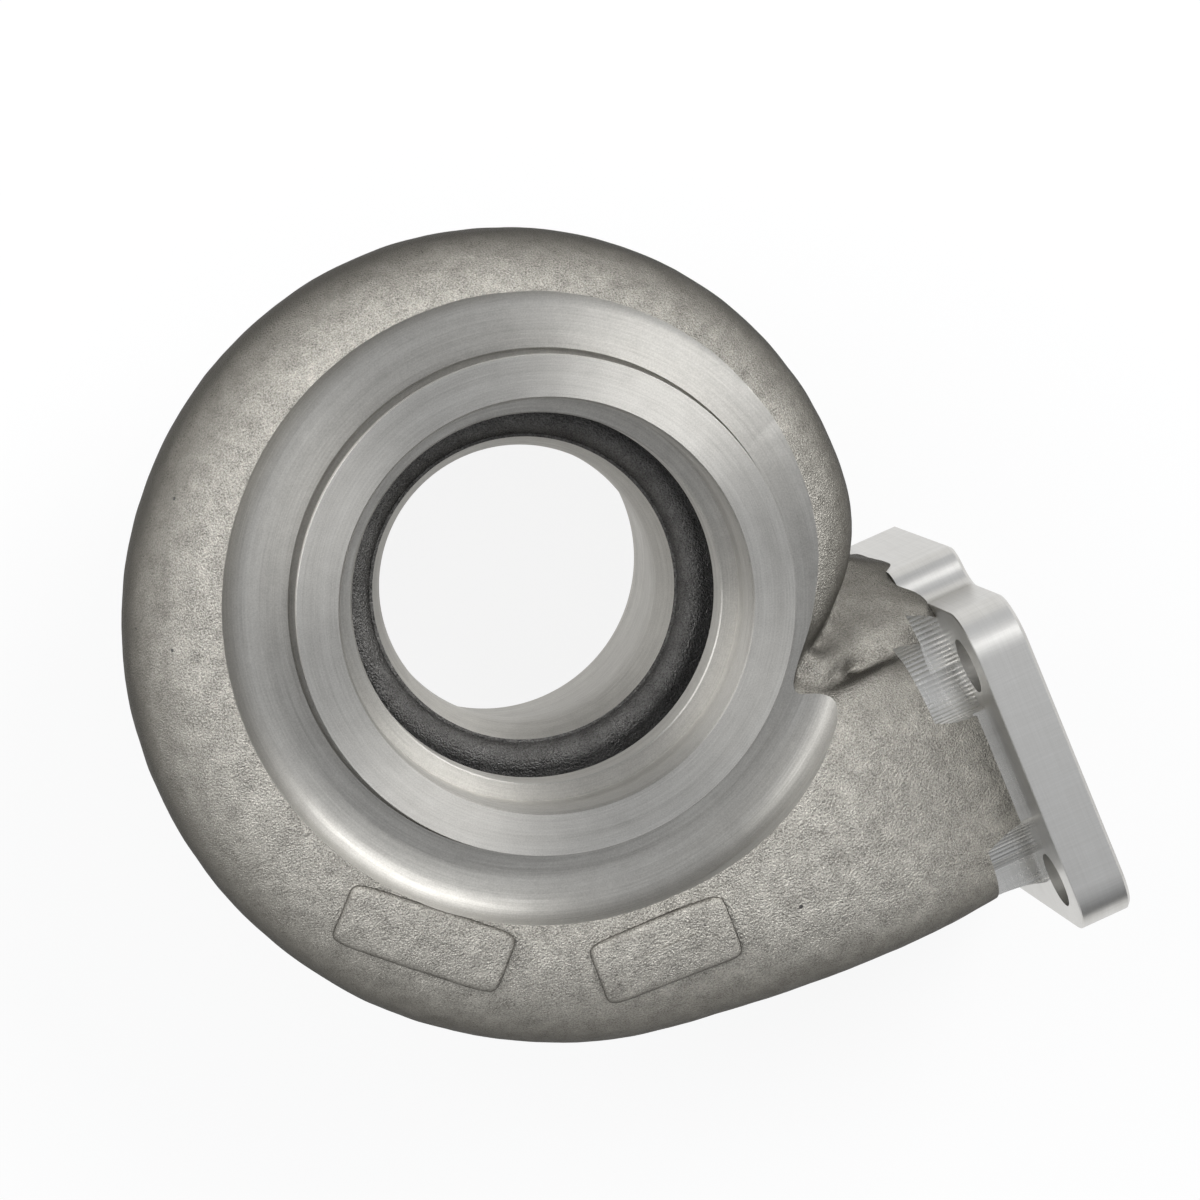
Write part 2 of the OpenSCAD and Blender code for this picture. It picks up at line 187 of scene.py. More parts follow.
def crown_r(s):
    """Radius of the section's highest and lowest points."""
    return mix(spiral_r(s) - mix(*CROWN_R, turn_share(s)), FLANGE_Y, duct_share(s))


def inner_r(s):
    """The section's inner line, filled out where the duct leaves the spiral."""
    w = duct_share(s)
    side = mix(SHIELD_R - 2, FLANGE_Y - DUCT_W / 2, w ** 4)
    return side - TONGUE_FILL * math.sin(math.pi * w) - flare(s)


def section_z(s):
    """Height at which the section is widest."""
    return mix(MID_Z, FLANGE_MID_Z, ease(duct_share(s)))


def crown_z(s):
    w = duct_share(s)
    if s <= 0:
        return MID_Z + mix(*CROWN_H, turn_share(s))
    end_z = MID_Z + CROWN_H[1]
    drop = (end_z - FLANGE_MID_Z - DUCT_L / 2) * w ** 3
    return end_z + DUCT_CROWN * math.sin(math.pi * w) - drop + flare(s)


def belly_z(s):
    start = MID_Z - mix(*BELLY_H, turn_share(s))
    return mix(start, FLANGE_MID_Z - DUCT_L / 2, ease(duct_share(s))) - flare(s)


def squareness(s):
    """The power of the section's outline: 2 is an ellipse, and more is squarer."""
    return mix(*SQUARENESS, duct_share(s))


# %% Sections of the outside and of the passage
def outer_section(s, points=72):
    """Points round the outside at s. Each quarter has its own width and height."""
    section = []
    for i in range(points):
        t = math.tau * i / points
        power = 2 / squareness(s)
        out = outer_r(s) - crown_r(s) if math.cos(t) > 0 else crown_r(s) - inner_r(s)
        up = crown_z(s) - section_z(s) if math.sin(t) > 0 else section_z(s) - belly_z(s)
        r = crown_r(s) + out * signed_power(math.cos(t), power)
        section.append(place(s, r, section_z(s) + up * signed_power(math.sin(t), power)))
    return section


def passage_half(share):
    """Half the passage's width in the spiral, where it is round."""
    return math.sqrt(mix(*PASSAGE_AREA, share) / math.pi)


def passage_section(s, points=48):
    """Points round the passage at s, a wall's thickness inside the outer line."""
    w = min(1.0, duct_share(s))
    share = min(1.0, (s + PASSAGE_TURN) / PASSAGE_TURN)
    half_r = mix(passage_half(share), PORT_W / 2, w)
    half_z = mix(passage_half(share), PORT_L / 2, ease(w))
    mid_r = mix(outer_r(min(s, 0)) - WALL_T - half_r, FLANGE_Y, w * (2 - w))
    spiral_z = mix(NOZZLE_BOTTOM + NOZZLE_W / 2, MID_Z, max(0.0, share))
    z = mix(spiral_z, FLANGE_MID_Z, ease(w))
    power = 2 / mix(*PASSAGE_SQUARENESS, w)
    section = []
    for i in range(points):
        t = math.tau * i / points
        r = mid_r + half_r * signed_power(math.cos(t), power)
        section.append(place(s, r, z + half_z * signed_power(math.sin(t), power)))
    return section


def steps(first, last, count):
    """Evenly spaced values, both ends included."""
    return [mix(first, last, i / count) for i in range(count + 1)]


# %% [markdown]
# ## Working like a modeller
# The next helpers are the ways in which a modeller makes a solid: a skin stretched over
# sections, an outline spun round an axis, an outline pulled along an axis, and the hull
# round a few balls. Each starts from one of Blender's primitives, whose points are moved to
# their places, and goes on with an edit operator.

# %% Helpers for editing
MERGE = 0.001


def deselect():
    if bpy.context.object and bpy.context.object.mode != "OBJECT":
        bpy.ops.object.mode_set(mode="OBJECT")
    bpy.ops.object.select_all(action="DESELECT")


def make_active(obj):
    deselect()
    obj.select_set(True)
    bpy.context.view_layer.objects.active = obj


def put_points(obj, points):
    """Moves the mesh's points to places given in millimetres, and its object to the origin."""
    obj.matrix_world = Matrix.Identity(4)
    flat = [value * MM for point in points for value in point]
    obj.data.vertices.foreach_set("co", flat)
    obj.data.update()


def close_up():
    """In edit mode: merges what coincides, closes holes and turns faces outwards."""
    bpy.ops.mesh.select_all(action="SELECT")
    bpy.ops.mesh.remove_doubles(threshold=MERGE * MM)
    bpy.ops.mesh.select_all(action="SELECT")
    bpy.ops.mesh.fill_holes(sides=0)
    bpy.ops.mesh.select_all(action="SELECT")
    bpy.ops.mesh.normals_make_consistent(inside=False)


def finish_edit(obj, name):
    """Leaves edit mode and names the piece and its mesh."""
    bpy.ops.object.mode_set(mode="OBJECT")
    obj.name = obj.data.name = name
    return obj


# %% Helpers for solids
def skin(name, sections):
    """A closed skin over sections with the same number of points."""
    around = len(sections[0])
    deselect()
    bpy.ops.mesh.primitive_grid_add(x_subdivisions=around, y_subdivisions=len(sections) - 1)
    obj = bpy.context.object
    put_points(obj, [row[i % around] for row in sections for i in range(around + 1)])
    bpy.ops.object.mode_set(mode="EDIT")
    close_up()
    return finish_edit(obj, name)


def spun(name, outline, turns=240):
    """A closed outline of (radius, height) points, spun round the turbine axis."""
    deselect()
    bpy.ops.mesh.primitive_circle_add(vertices=len(outline), fill_type="NOTHING")
    obj = bpy.context.object
    put_points(obj, [(r, 0, z) for r, z in outline])
    bpy.ops.object.mode_set(mode="EDIT")
    bpy.ops.mesh.select_all(action="SELECT")
    bpy.ops.mesh.spin(steps=turns, angle=math.tau, center=(0, 0, 0), axis=(0, 0, 1))
    close_up()
    return finish_edit(obj, name)


def pulled(name, outline, from_x, to_x):
    """A closed outline of (Y, Z) points, pulled along X."""
    deselect()
    bpy.ops.mesh.primitive_circle_add(vertices=len(outline), fill_type="NGON")
    obj = bpy.context.object
    put_points(obj, [(from_x, y, z) for y, z in outline])
    bpy.ops.object.mode_set(mode="EDIT")
    bpy.ops.mesh.select_all(action="SELECT")
    move = {"value": ((to_x - from_x) * MM, 0, 0)}
    bpy.ops.mesh.extrude_region_move(TRANSFORM_OT_translate=move)
    close_up()
    return finish_edit(obj, name)


# %% Helpers for arcs and joining
def arc(centre, r, first, last, count=8):
    """Points of an arc, from one angle to another, in degrees."""
    angles = [math.radians(angle) for angle in steps(first, last, count)]
    return [(centre[0] + r * math.cos(a), centre[1] + r * math.sin(a)) for a in angles]


def joined(name, pieces):
    """Makes one mesh of the pieces, which may still overlap."""
    deselect()
    for piece in pieces:
        piece.select_set(True)
    bpy.context.view_layer.objects.active = pieces[0]
    bpy.ops.object.join()
    pieces[0].name = pieces[0].data.name = name
    return pieces[0]


def wrapped(name, balls):
    """The hull round balls given as (X, Y, Z, radius)."""
    pieces = []
    for x, y, z, r in balls:
        deselect()
        bpy.ops.mesh.primitive_ico_sphere_add(subdivisions=3, radius=r * MM)
        ball = bpy.context.object
        ball.data.transform(Matrix.Translation(Vector((x, y, z)) * MM))
        pieces.append(ball)
    obj = joined(name, pieces)
    bpy.ops.object.mode_set(mode="EDIT")
    bpy.ops.mesh.select_all(action="SELECT")
    bpy.ops.mesh.convex_hull()
    close_up()
    return finish_edit(obj, name)


def apply_modifier(obj, kind, **settings):
    """Adds one modifier, sets it and applies it."""
    make_active(obj)
    modifier = obj.modifiers.new(kind.lower(), kind)
    for key, value in settings.items():
        setattr(modifier, key, value)
    bpy.ops.object.modifier_apply(modifier=modifier.name)
    return obj


def combined(obj, tool, operation):
    """Adds a solid to obj or cuts it away, and deletes the tool. Cut faces keep its material."""
    apply_modifier(obj, "BOOLEAN", object=tool, operation=operation, solver="MANIFOLD",
                   material_mode="TRANSFER")
    bpy.data.objects.remove(tool)
    print(operation.lower(), "->", len(obj.data.polygons), "faces")
    return obj


# %% [markdown]
# ## Materials, first as names
# Each surface of the housing was left by another process: the mould, the lathe, the milling
# cutter or the drill. The names come first, so that each cutting tool can leave its own
# finish on the metal. Their nodes are built later.

# %% Name the finishes
FINISHES = ["cast_skin", "cast_inside", "turned_face", "milled_face", "plunged_wall"]
finish = {name: bpy.data.materials.new(name) for name in FINISHES}


def coat(obj, *names):
    """Gives every face of obj the first finish and makes room for the others."""
    obj.data.materials.clear()
    for name in names:
        obj.data.materials.append(finish[name])
    obj.data.polygons.foreach_set("material_index", [0] * len(obj.data.polygons))
    return obj


# %% [markdown]
# ## The raw casting
# The foundry pours one lump, with every inner corner rounded so that the iron flows and
# doesn't crack. Bevels can't round a corner where two curved skins meet at a changing
# angle. A voxel remesh can: it melts all the overlapping skins into one, and a smoothing
# pass then relaxes the seams into soft fillets.

# %% Model the volute and the duct
volute = skin("volute", [outer_section(s) for s in steps(-SPIRAL_TURN, 0, 110)])
duct = skin("duct", [outer_section(s) for s in steps(0, FLANGE_BACK + 2, 30)])
print("volute and duct:", len(volute.data.polygons) + len(duct.data.polygons), "faces")

# %% Model the hub and the outlet neck
shoulder_r = START_R - CROWN_R[0] + 3
shoulder_z = MID_Z - BELLY_H[0]
hub_outline = [(0, 1), (NECK_R, 1)]
hub_outline += arc((NECK_R + OUTLET_FILLET, shoulder_z - OUTLET_FILLET), OUTLET_FILLET, 180, 90)
hub_outline += [(shoulder_r, shoulder_z), (shoulder_r, TOTAL_H + 3), (0, TOTAL_H + 3)]
hub = spun("hub", hub_outline, turns=120)

# %% [markdown]
# ## The tongue's rib
# Where the spiral begins, a round rib runs out to the inlet flange. A web fills the corner
# behind it, and a groove parts it from the lip of the recess. A hull round two balls makes
# the rib, and hulls round a few more make the web and the groove. The groove's upper balls
# stand in the open air, so that it is open all the way up and never a tunnel.

# %% Model the rib, the groove and the web
RIB_START = (52.4, -41.2, TOTAL_H - 14.8)
RIB_END = (FLANGE_BACK - 8.9, FLANGE_IN_Y - 1.2, TOTAL_H - 39.5)


def shifted(point, x, y, z):
    return (point[0] + x, point[1] + y, point[2] + z)


def hull_of(name, corners, r):
    """The hull round balls of one radius."""
    return wrapped(name, [(*corner, r) for corner in corners])


rib = hull_of("rib", [RIB_START, RIB_END], RIB_R)
low_start, low_end = shifted(RIB_START, 1.2, -0.2, 1.8), shifted(RIB_END, -1.1, -0.6, 3.5)
groove = hull_of("groove", [low_start, low_end, shifted(low_start, 3, 2, 20),
                            shifted(low_end, 3, 2, 24)], TONGUE_GROOVE_R)
WEB_CORNERS = [
    shifted(RIB_START, -1.6, 1.8, -4.4), shifted(RIB_END, -1.5, 2.2, -3.6),
    (FLANGE_BACK - 6.4, EAR_Y - 3.4, EAR_Z - 3.2), (FLANGE_BACK - 1, EAR_Y - 3.6, EAR_Z - 8),
    (FLANGE_BACK - 3.2, FLANGE_IN_Y + 1.1, TOTAL_H - 48.8),
    (FLANGE_BACK - 1, FLANGE_IN_Y - 3.5, EAR_Z + 12.5),
    (FLANGE_BACK - 1, FLANGE_IN_Y - 8, EAR_Z + 14.5),
    (FLANGE_BACK - 1, EAR_Y - 4.5, FLANGE_LOW_Z + 14),
    (FLANGE_BACK - 1, FLANGE_IN_Y - 5.5, EAR_Z - 6),
    (FLANGE_BACK - 1, FLANGE_IN_Y - 5.5, FLANGE_LOW_Z + 14), (73, -28.5, TOTAL_H - 54),
    (60.3, -28, TOTAL_H - 41.3), (66, -28, TOTAL_H - 75)]
web = hull_of("web", WEB_CORNERS, WEB_R)

# %% Melt the parts into one casting
VOXEL, PASSES = ((1.35, 14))


def melted(pieces):
    """Joins the pieces and remeshes what they fill together."""
    casting = joined("turbine_casting", pieces)
    return apply_modifier(casting, "REMESH", mode="VOXEL", voxel_size=VOXEL * MM,
                          use_smooth_shade=True)


housing = combined(melted([volute, duct, hub]), groove, "DIFFERENCE")
housing = apply_modifier(melted([housing, rib, web]), "SMOOTH", factor=0.5, iterations=PASSES)
coat(housing, "cast_skin")
print("the raw casting has", len(housing.data.polygons), "faces")

# %% [markdown]
# ## Unevenness
# A sand mould is never quite true. A displacement of a few tenths of a millimetre, from a
# cloudy noise as wide as a thumb, takes the computed smoothness away before any machining.
# Where a grain broke out of the mould's wall or gas was trapped, a small pit stays.

# %% Let the skin wander
WANDER_WIDTH, WANDER_H = 14, 0.5
wander = bpy.data.textures.new("mould_wander", type="CLOUDS")
wander.noise_scale = WANDER_WIDTH * MM
apply_modifier(housing, "DISPLACE", texture=wander, texture_coords="LOCAL",
               strength=WANDER_H * MM, mid_level=0.5)

# %% [markdown]
# ## The pads on the flank
# Two flat-topped pads stand a little proud of the flank. They follow its height, so each is
# a stack of rings drawn on the flank's own surface: out over the top, round the edge and
# down into the wall.

# %% Model the pads
# The middle of each pad, its lean in degrees, its length and its width
PADS = [((-55.1, -58.5), -42.5, 39.6, 15.4), ((-6.1, -83.7), -1.6, 32.8, 16.2)]
# How far each ring is spread, and how high it stands above the flank
PAD_RINGS = [(-5.8, PAD_H), (-4, PAD_H), (-2, PAD_H), (-0.6, PAD_H), (0.2, PAD_H - 0.12),
             (0.7, PAD_H - 0.45), (1.0, PAD_H - 1.0), (1.15, -2.0)]


def flank_z(x, y):
    """Height of the upper flank over a point of the ground plan."""
    if x > 0 and y < 0:
        s, r = x, -y
    else:
        s, r = math.degrees(math.atan2(y, x)) + 90, math.hypot(x, y)
    share = min(1.0, max(0.0, r - crown_r(s)) / (outer_r(s) - crown_r(s)))
    power = squareness(s)
    return section_z(s) + (crown_z(s) - section_z(s)) * (1 - share ** power) ** (1 / power)


def pad_ring(middle, lean, length, width, spread, rise, points=96, corner=2 / 9):
    """Points round a rectangle with round corners, laid on the flank."""
    ring = []
    c, s = math.cos(math.radians(lean)), math.sin(math.radians(lean))
    for i in range(points):
        t = math.tau * i / points
        along = (length / 2 - 1 + spread) * signed_power(math.cos(t), corner)
        out = (width / 2 - 1 + spread) * signed_power(math.sin(t), corner)
        x, y = middle[0] + along * c + out * s, middle[1] + along * s - out * c
        ring.append((x, y, flank_z(x, y) + rise))
    return ring


for number, place_and_size in enumerate(PADS):
    pad = skin(f"pad_{number}", [pad_ring(*place_and_size, *ring) for ring in PAD_RINGS])
    combined(housing, coat(pad, "cast_skin"), "UNION")

# %% Leave the pits
# X, Y and radius of each pit
PITS = [(25.9, -86.3, 0.5), (-66.4, 54.5, 0.45), (-80.5, 24.0, 0.4), (-86.0, 30.5, 0.35)]
bpy.context.view_layer.update()
balls = []
for x, y, r in PITS:
    _, spot, normal, _ = housing.ray_cast(Vector((x, y, 200)) * MM, Vector((0, 0, -1)))
    spot = spot / MM + normal * r * 0.3
    balls.append((spot.x, spot.y, spot.z, r))
# The pits take the dark inside finish, which is painted shade in them.
for number, ball in enumerate(balls):
    combined(housing, coat(wrapped(f"pit_{number}", [ball]), "cast_inside"), "DIFFERENCE")
print("pits at", [tuple(round(v, 1) for v in ball) for ball in balls])

# %% [markdown]
# ## The inlet flange
# The flange is milled on every side you can see, so its outline is crisp: straight lines and
# true arcs, with an S-shaped step up to the taller ear. One extrusion gives its thickness,
# and a bevel breaks the edges, wider on the face that meets the manifold.

# %% Draw the flange's outline
def flange_outline():
    """Points as (Y, Z), round the flange from its corner near the bearing face."""
    corner, step_l = FLANGE_CORNER, EAR_STEP_L
    step_r = (EAR_H ** 2 + step_l ** 2) / (4 * EAR_H)
    lean = math.degrees(math.atan2(step_l / 2, step_r - EAR_H / 2))
    outline = arc((FLANGE_IN_Y - corner, FLANGE_TOP_Z - corner), corner, 90, 0, 14)
    outline += arc((FLANGE_IN_Y + step_r, EAR_Z + step_l), step_r, 180, 180 + lean, 12)
    outline += arc((EAR_Y - step_r, EAR_Z), step_r, lean, 0, 12)[1:]
    outline += arc((EAR_Y - step_r, FLANGE_LOW_Z + step_r), step_r, 0, -90, 12)
    outline += arc((FLANGE_OUT_Y + corner, FLANGE_LOW_Z + corner), corner, -90, -180, 14)
    outline += arc((FLANGE_OUT_Y + corner, FLANGE_TOP_Z - corner), corner, 180, 90, 14)
    return outline


# %% Model the flange
def break_edges(obj, x, width):
    """Bevels the edges that lie in the plane at x."""
    make_active(obj)
    bpy.ops.object.mode_set(mode="EDIT")
    bpy.ops.mesh.select_all(action="DESELECT")
    bpy.ops.mesh.select_mode(type="EDGE")
    bpy.ops.object.mode_set(mode="OBJECT")
    points = obj.data.vertices
    for edge in obj.data.edges:
        edge.select = all(abs(points[i].co.x - x * MM) < 1e-6 for i in edge.vertices)
    bpy.ops.object.mode_set(mode="EDIT")
    bpy.ops.mesh.bevel(offset=width * MM, segments=1, affect="EDGES")
    return finish_edit(obj, obj.name)


def ear_outline():
    """The ear's milled faces, as (Y, Z), closed by a straight line inside the casting."""
    top_z = EAR_Z + EAR_STEP_L
    ear = [(y, z) for y, z in flange_outline() if y > FLANGE_IN_Y and z < top_z]
    return ear + [(FLANGE_IN_Y - 1, FLANGE_LOW_Z), (FLANGE_IN_Y - 1, top_z)]


flange = pulled("flange", flange_outline(), FLANGE_BACK, INLET_X)
break_edges(flange, INLET_X, 0.8)
break_edges(flange, FLANGE_BACK, 0.25)
combined(housing, coat(flange, "milled_face"), "UNION")
ear = pulled("ear", ear_outline(), FLANGE_BACK - EAR_BACK, FLANGE_BACK + 1)
combined(housing, coat(ear, "milled_face"), "UNION")

# %% [markdown]
# ## Turning
# On the lathe, one form tool after another cuts the faces round the axis: the clamp rim with
# its groove, the recess with its round foot, the register and the bores. All of them have
# the same axis, so one spun outline stands for all the cuts. Its faces carry the finish that
# they leave behind. The nose of the shroud and the walls of the nozzle stay as cast.

# %% Model the outlet's clamp rim
neck_cone = (OUTLET_RIM_R - NECK_R - 1) * math.tan(CLAMP_ANGLE)
outlet_rim = spun("outlet_rim", [
    (OUTLET_R - 1, 0), (OUTLET_RIM_R - 0.4, 0), (OUTLET_RIM_R, 0.4),
    (OUTLET_RIM_R, OUTLET_RIM_T - 0.3), (OUTLET_RIM_R - 0.3, OUTLET_RIM_T),
    (NECK_R + 1, OUTLET_RIM_T + neck_cone), (NECK_R + 0.15, OUTLET_RIM_T + neck_cone + 0.9),
    (NECK_R + 0.15, OUTLET_RIM_T + neck_cone + 3), (OUTLET_R - 1, OUTLET_RIM_T + neck_cone + 3)])
combined(housing, coat(outlet_rim, "turned_face"), "UNION")

# %% Draw the outline of the turned cuts
def turned_outline():
    """Points as (radius, height), up from the outlet and out to the recess."""
    over = 12.0
    foot_r = RECESS_R - RECESS_FILLET
    rim_neck_r, rim_cone = RIM_R - RIM_LIP, RIM_LIP * math.tan(CLAMP_ANGLE)
    register_floor = TOTAL_H - REGISTER_DEPTH
    bore = [(0, -over), (OUTLET_R + 0.5, -over), (OUTLET_R + 0.5, 0), (OUTLET_R, 0.5),
            (OUTLET_R, OUTLET_L), (SHROUD_R, NOZZLE_BOTTOM - 24),
            (SHROUD_R, NOZZLE_BOTTOM - 12), (LIP_R, NOZZLE_BOTTOM - NOSE_R / 2)]
    nose = arc((LIP_R + NOSE_R, NOZZLE_BOTTOM - NOSE_R), NOSE_R, 150, 60, 12)
    nozzle = [(NOZZLE_R, NOZZLE_BOTTOM - 4), (NOZZLE_R, NOZZLE_TOP)]
    seat = [(SHIELD_R, NOZZLE_TOP), (SHIELD_R, register_floor - 0.3),
            (SHIELD_R + 0.3, register_floor), (REGISTER_R, register_floor),
            (REGISTER_R, TOTAL_H - 0.9), (REGISTER_R + 0.5, TOTAL_H)]
    rim = [(RIM_R - 0.1, TOTAL_H), (RIM_R, TOTAL_H - 0.1), (RIM_R, TOTAL_H - RIM_T),
           (rim_neck_r, TOTAL_H - RIM_T - rim_cone), (rim_neck_r, FLOOR_Z - GROOVE_DEPTH),
           (RIM_R + GROOVE_W, FLOOR_Z - GROOVE_DEPTH), (RIM_R + GROOVE_W, FLOOR_Z)]
    wall = arc((foot_r, FLOOR_Z + RECESS_FILLET), RECESS_FILLET, -90, 0, 16)
    return bore + nose + nozzle + seat + rim + wall + [(RECESS_R, TOTAL_H + over),
                                                       (0, TOTAL_H + over)]


# %% Turn the casting
def mark_rough(obj, slot):
    """Gives the nozzle's walls and the shroud's nose the finish in that slot."""
    for face in obj.data.polygons:
        r = math.hypot(face.center.x, face.center.y) / MM
        z = face.center.z / MM
        nose = NOZZLE_BOTTOM - NOSE_R < z < NOZZLE_TOP - 0.01 and r > LIP_R
        if nose or (abs(z - NOZZLE_TOP) < 0.01 and r > SHIELD_R):
            face.material_index = slot
    return obj


# Slot 1 is the dark inside finish, painted shade on the nozzle's walls and the shroud's nose.
turning = coat(spun("turning", turned_outline()), "turned_face", "cast_inside")
combined(housing, mark_rough(turning, 1), "DIFFERENCE")

# %% [markdown]
# ## The passage and the holes
# A sand core leaves the hollow passage. It is a second skin along the same path, inside the
# first. Behind the flange a cutter is plunged again and again round each bolt and at the
# foot of the ear's step, which leaves walls of small scallops. The holes are drilled last.

# %% Cut the passage
passage_path = steps(-PASSAGE_TURN, 0, 78) + steps(0, INLET_X + 2, 24)[1:]
passage = skin("passage", [passage_section(s) for s in passage_path])
# The passage takes the dark inside finish, painted shade for its inside.
combined(housing, coat(passage, "cast_inside"), "DIFFERENCE")

# %% Mill the pockets and drill the holes
SCALLOP_PITCH, SCALLOP_DEPTH = 1.35, 0.15


def scalloped(y, z, r, points_each=4):
    """Outline of a plunged pocket: small arcs that meet in cusps."""
    count = round(math.tau * r / SCALLOP_PITCH)
    outline = []
    for i in range(count * points_each):
        turn = i / points_each
        radius = r - SCALLOP_DEPTH * (1 - abs(math.sin(math.pi * turn)))
        angle = math.tau * turn / count
        outline.append((y + radius * math.cos(angle), z + radius * math.sin(angle)))
    return outline


def round_hole(y, z, r, points=96):
    """A full circle, without its first point a second time."""
    return arc((y, z), r, 0, 360 * (points - 1) / points, points - 1)


def block(name, x0, x1, low, high):
    """A box between two corners given as (Y, Z)."""
    corners = [(low[0], low[1]), (high[0], low[1]), (high[0], high[1]), (low[0], high[1])]
    return pulled(name, corners, x0, x1)


def pocket_pair(low, high, out):
    """The cutters behind two bolts; out is 1 on the side of the bearing, -1 on the other."""
    start, z = FLANGE_BACK - POCKET_L, low[1]
    middles = [high, low, (low[0] + POCKET_SLIDE, z + out * POCKET_LIFT)]
    tools = [pulled("pocket", scalloped(*middle, POCKET_R), start, FLANGE_BACK)
             for middle in middles]
    edge = FLANGE_TOP_Z + 2 if out > 0 else FLANGE_LOW_Z - 2
    tools.append(block("slide", start, FLANGE_BACK, (low[0], min(z, z - out * POCKET_R)),
                       (low[0] + POCKET_SLIDE, max(z, z - out * POCKET_R))))
    floor_z = z - out * GAP_FLOOR
    tools.append(block("gap", FLANGE_BACK - GAP_W, FLANGE_BACK, (low[0], min(edge, floor_z)),
                       (high[0], max(edge, floor_z))))
    return tools


bolts = bolt_places()
foot = pulled("pocket", scalloped(FLANGE_IN_Y - FOOT_IN, TOTAL_H - FOOT_DEPTH, POCKET_R),
              FLANGE_BACK - POCKET_L / 2, FLANGE_BACK)
for tool in [foot] + pocket_pair(bolts[0], bolts[1], 1) + pocket_pair(bolts[2], bolts[3], -1):
    combined(housing, coat(tool, "plunged_wall"), "DIFFERENCE")
for number, (y, z) in enumerate(bolts):
    hole = pulled(f"hole_{number}", round_hole(y, z, BOLT_R), FLANGE_BACK - 2, INLET_X + 2)
    combined(housing, coat(hole, "milled_face"), "DIFFERENCE")

# %% Shade the casting
make_active(housing)
bpy.ops.object.shade_smooth_by_angle(angle=math.radians(32))
housing.data.calc_loop_triangles()
print("the casting has", len(housing.data.loop_triangles), "triangles, and these finishes:",
      [material.name for material in housing.data.materials])

# %% [markdown]
# ## Finishes
# Noise at the scale of the sand gives the cast skin its grain. The lathe and the cutter
# leave fine lines that follow their own motion. Both effects are node groups, because more
# than one finish needs them: the grain is also the fine speckle of a turned face.

# %% Helpers for nodes
def node(tree, kind, sockets=None, **settings):
    """Adds a node and links or sets the inputs that sockets names."""
    made = tree.nodes.new("ShaderNode" + kind)
    for key, value in settings.items():
        setattr(made, key, value)
    for key, value in (sockets or {}).items():
        if isinstance(value, bpy.types.NodeSocket):
            tree.links.new(value, made.inputs[key])
        else:
            made.inputs[key].default_value = value
    return made


def calc(tree, operation, *values):
    return node(tree, "Math", dict(enumerate(values)), operation=operation).outputs[0]


def spread(tree, value, low, high, to_low=0.0, to_high=1.0):
    """Maps the range from low to high onto another range."""
    return node(tree, "MapRange", {"Value": value, "From Min": low, "From Max": high,
                                   "To Min": to_low, "To Max": to_high}).outputs["Result"]


def noise(tree, vector, scale, detail=2.0, roughness=0.5):
    return node(tree, "TexNoise", {"Vector": vector, "Scale": scale, "Detail": detail,
                                   "Roughness": roughness}).outputs["Fac"]


def millimetres(tree):
    """The object's own coordinates, in millimetres."""
    place_on = node(tree, "TexCoord").outputs["Object"]
    return node(tree, "VectorMath", {0: place_on, "Scale": 1 / MM},
                operation="SCALE").outputs["Vector"]


def effect(name, inputs, outputs):
    """An empty node group, with its input sockets' outputs and its output's sockets."""
    group = bpy.data.node_groups.new(name, "ShaderNodeTree")
    for label, kind in inputs.items():
        group.interface.new_socket(label, in_out="INPUT", socket_type="NodeSocket" + kind)
    for label in outputs:
        group.interface.new_socket(label, in_out="OUTPUT", socket_type="NodeSocketFloat")
    return group, group.nodes.new("NodeGroupInput").outputs, \
        group.nodes.new("NodeGroupOutput").inputs


# %% The grain of the sand
grain, given, result = effect("sand_grain", {"Grains per mm": "Float"}, ["Height", "Tone"])
at = node(grain, "VectorMath", {0: millimetres(grain), "Scale": given["Grains per mm"]},
          operation="SCALE").outputs["Vector"]
pebbles = node(grain, "TexVoronoi", {"Vector": at, "Scale": 0.9, "Smoothness": 0.7},
               feature="SMOOTH_F1").outputs["Distance"]
lumps = noise(grain, at, 1.3, 3.0, 0.62)
height = calc(grain, "ADD", calc(grain, "MULTIPLY", pebbles, 0.55), lumps)
grain.links.new(height, result["Height"])
blotches = noise(grain, at, 0.11, 4.0, 0.6)
tone = calc(grain, "ADD", calc(grain, "MULTIPLY", blotches, 0.3),
            calc(grain, "MULTIPLY", lumps, 0.7))
grain.links.new(spread(grain, tone, 0.3, 0.7), result["Tone"])

# %% The lines of a tool
lines, given, result = effect("tool_lines", {"Across": "Vector"}, ["Height", "Tone"])
fine = noise(lines, given["Across"], 2.6, 3.0, 0.7)
broad = noise(lines, given["Across"], 0.35, 3.0, 0.6)
lines.links.new(fine, result["Height"])
tone = calc(lines, "ADD", calc(lines, "MULTIPLY", fine, 0.6), calc(lines, "MULTIPLY", broad, 0.4))
lines.links.new(spread(lines, tone, 0.32, 0.68), result["Tone"])


# %% Helpers for the finishes
def start_finish(name, **constants):
    """Switches nodes on and sets the shader's own sockets. Returns the tree and the shader."""
    finish[name].use_nodes = True
    tree = finish[name].node_tree
    shader = tree.nodes["Principled BSDF"]
    for key, value in constants.items():
        shader.inputs[key.replace("_", " ")].default_value = value
    return tree, shader


def used(tree, group, sockets):
    """Places a node group in a material, with that material's own values."""
    return node(tree, "Group", sockets, node_tree=group).outputs


def shades(tree, shader, tone, dark, light):
    """Colours the surface from dark to light, as tone goes from 0 to 1."""
    ramp = node(tree, "ValToRGB", {"Fac": tone})
    ramp.color_ramp.elements[0].color = (*dark, 1)
    ramp.color_ramp.elements[1].color = (*light, 1)
    tree.links.new(ramp.outputs["Color"], shader.inputs["Base Color"])


def relief(tree, shader, height, depth):
    """Bumps the surface; depth is in millimetres."""
    bump = node(tree, "Bump", {"Height": height, "Distance": depth * MM, "Strength": 1.0})
    tree.links.new(bump.outputs["Normal"], shader.inputs["Normal"])
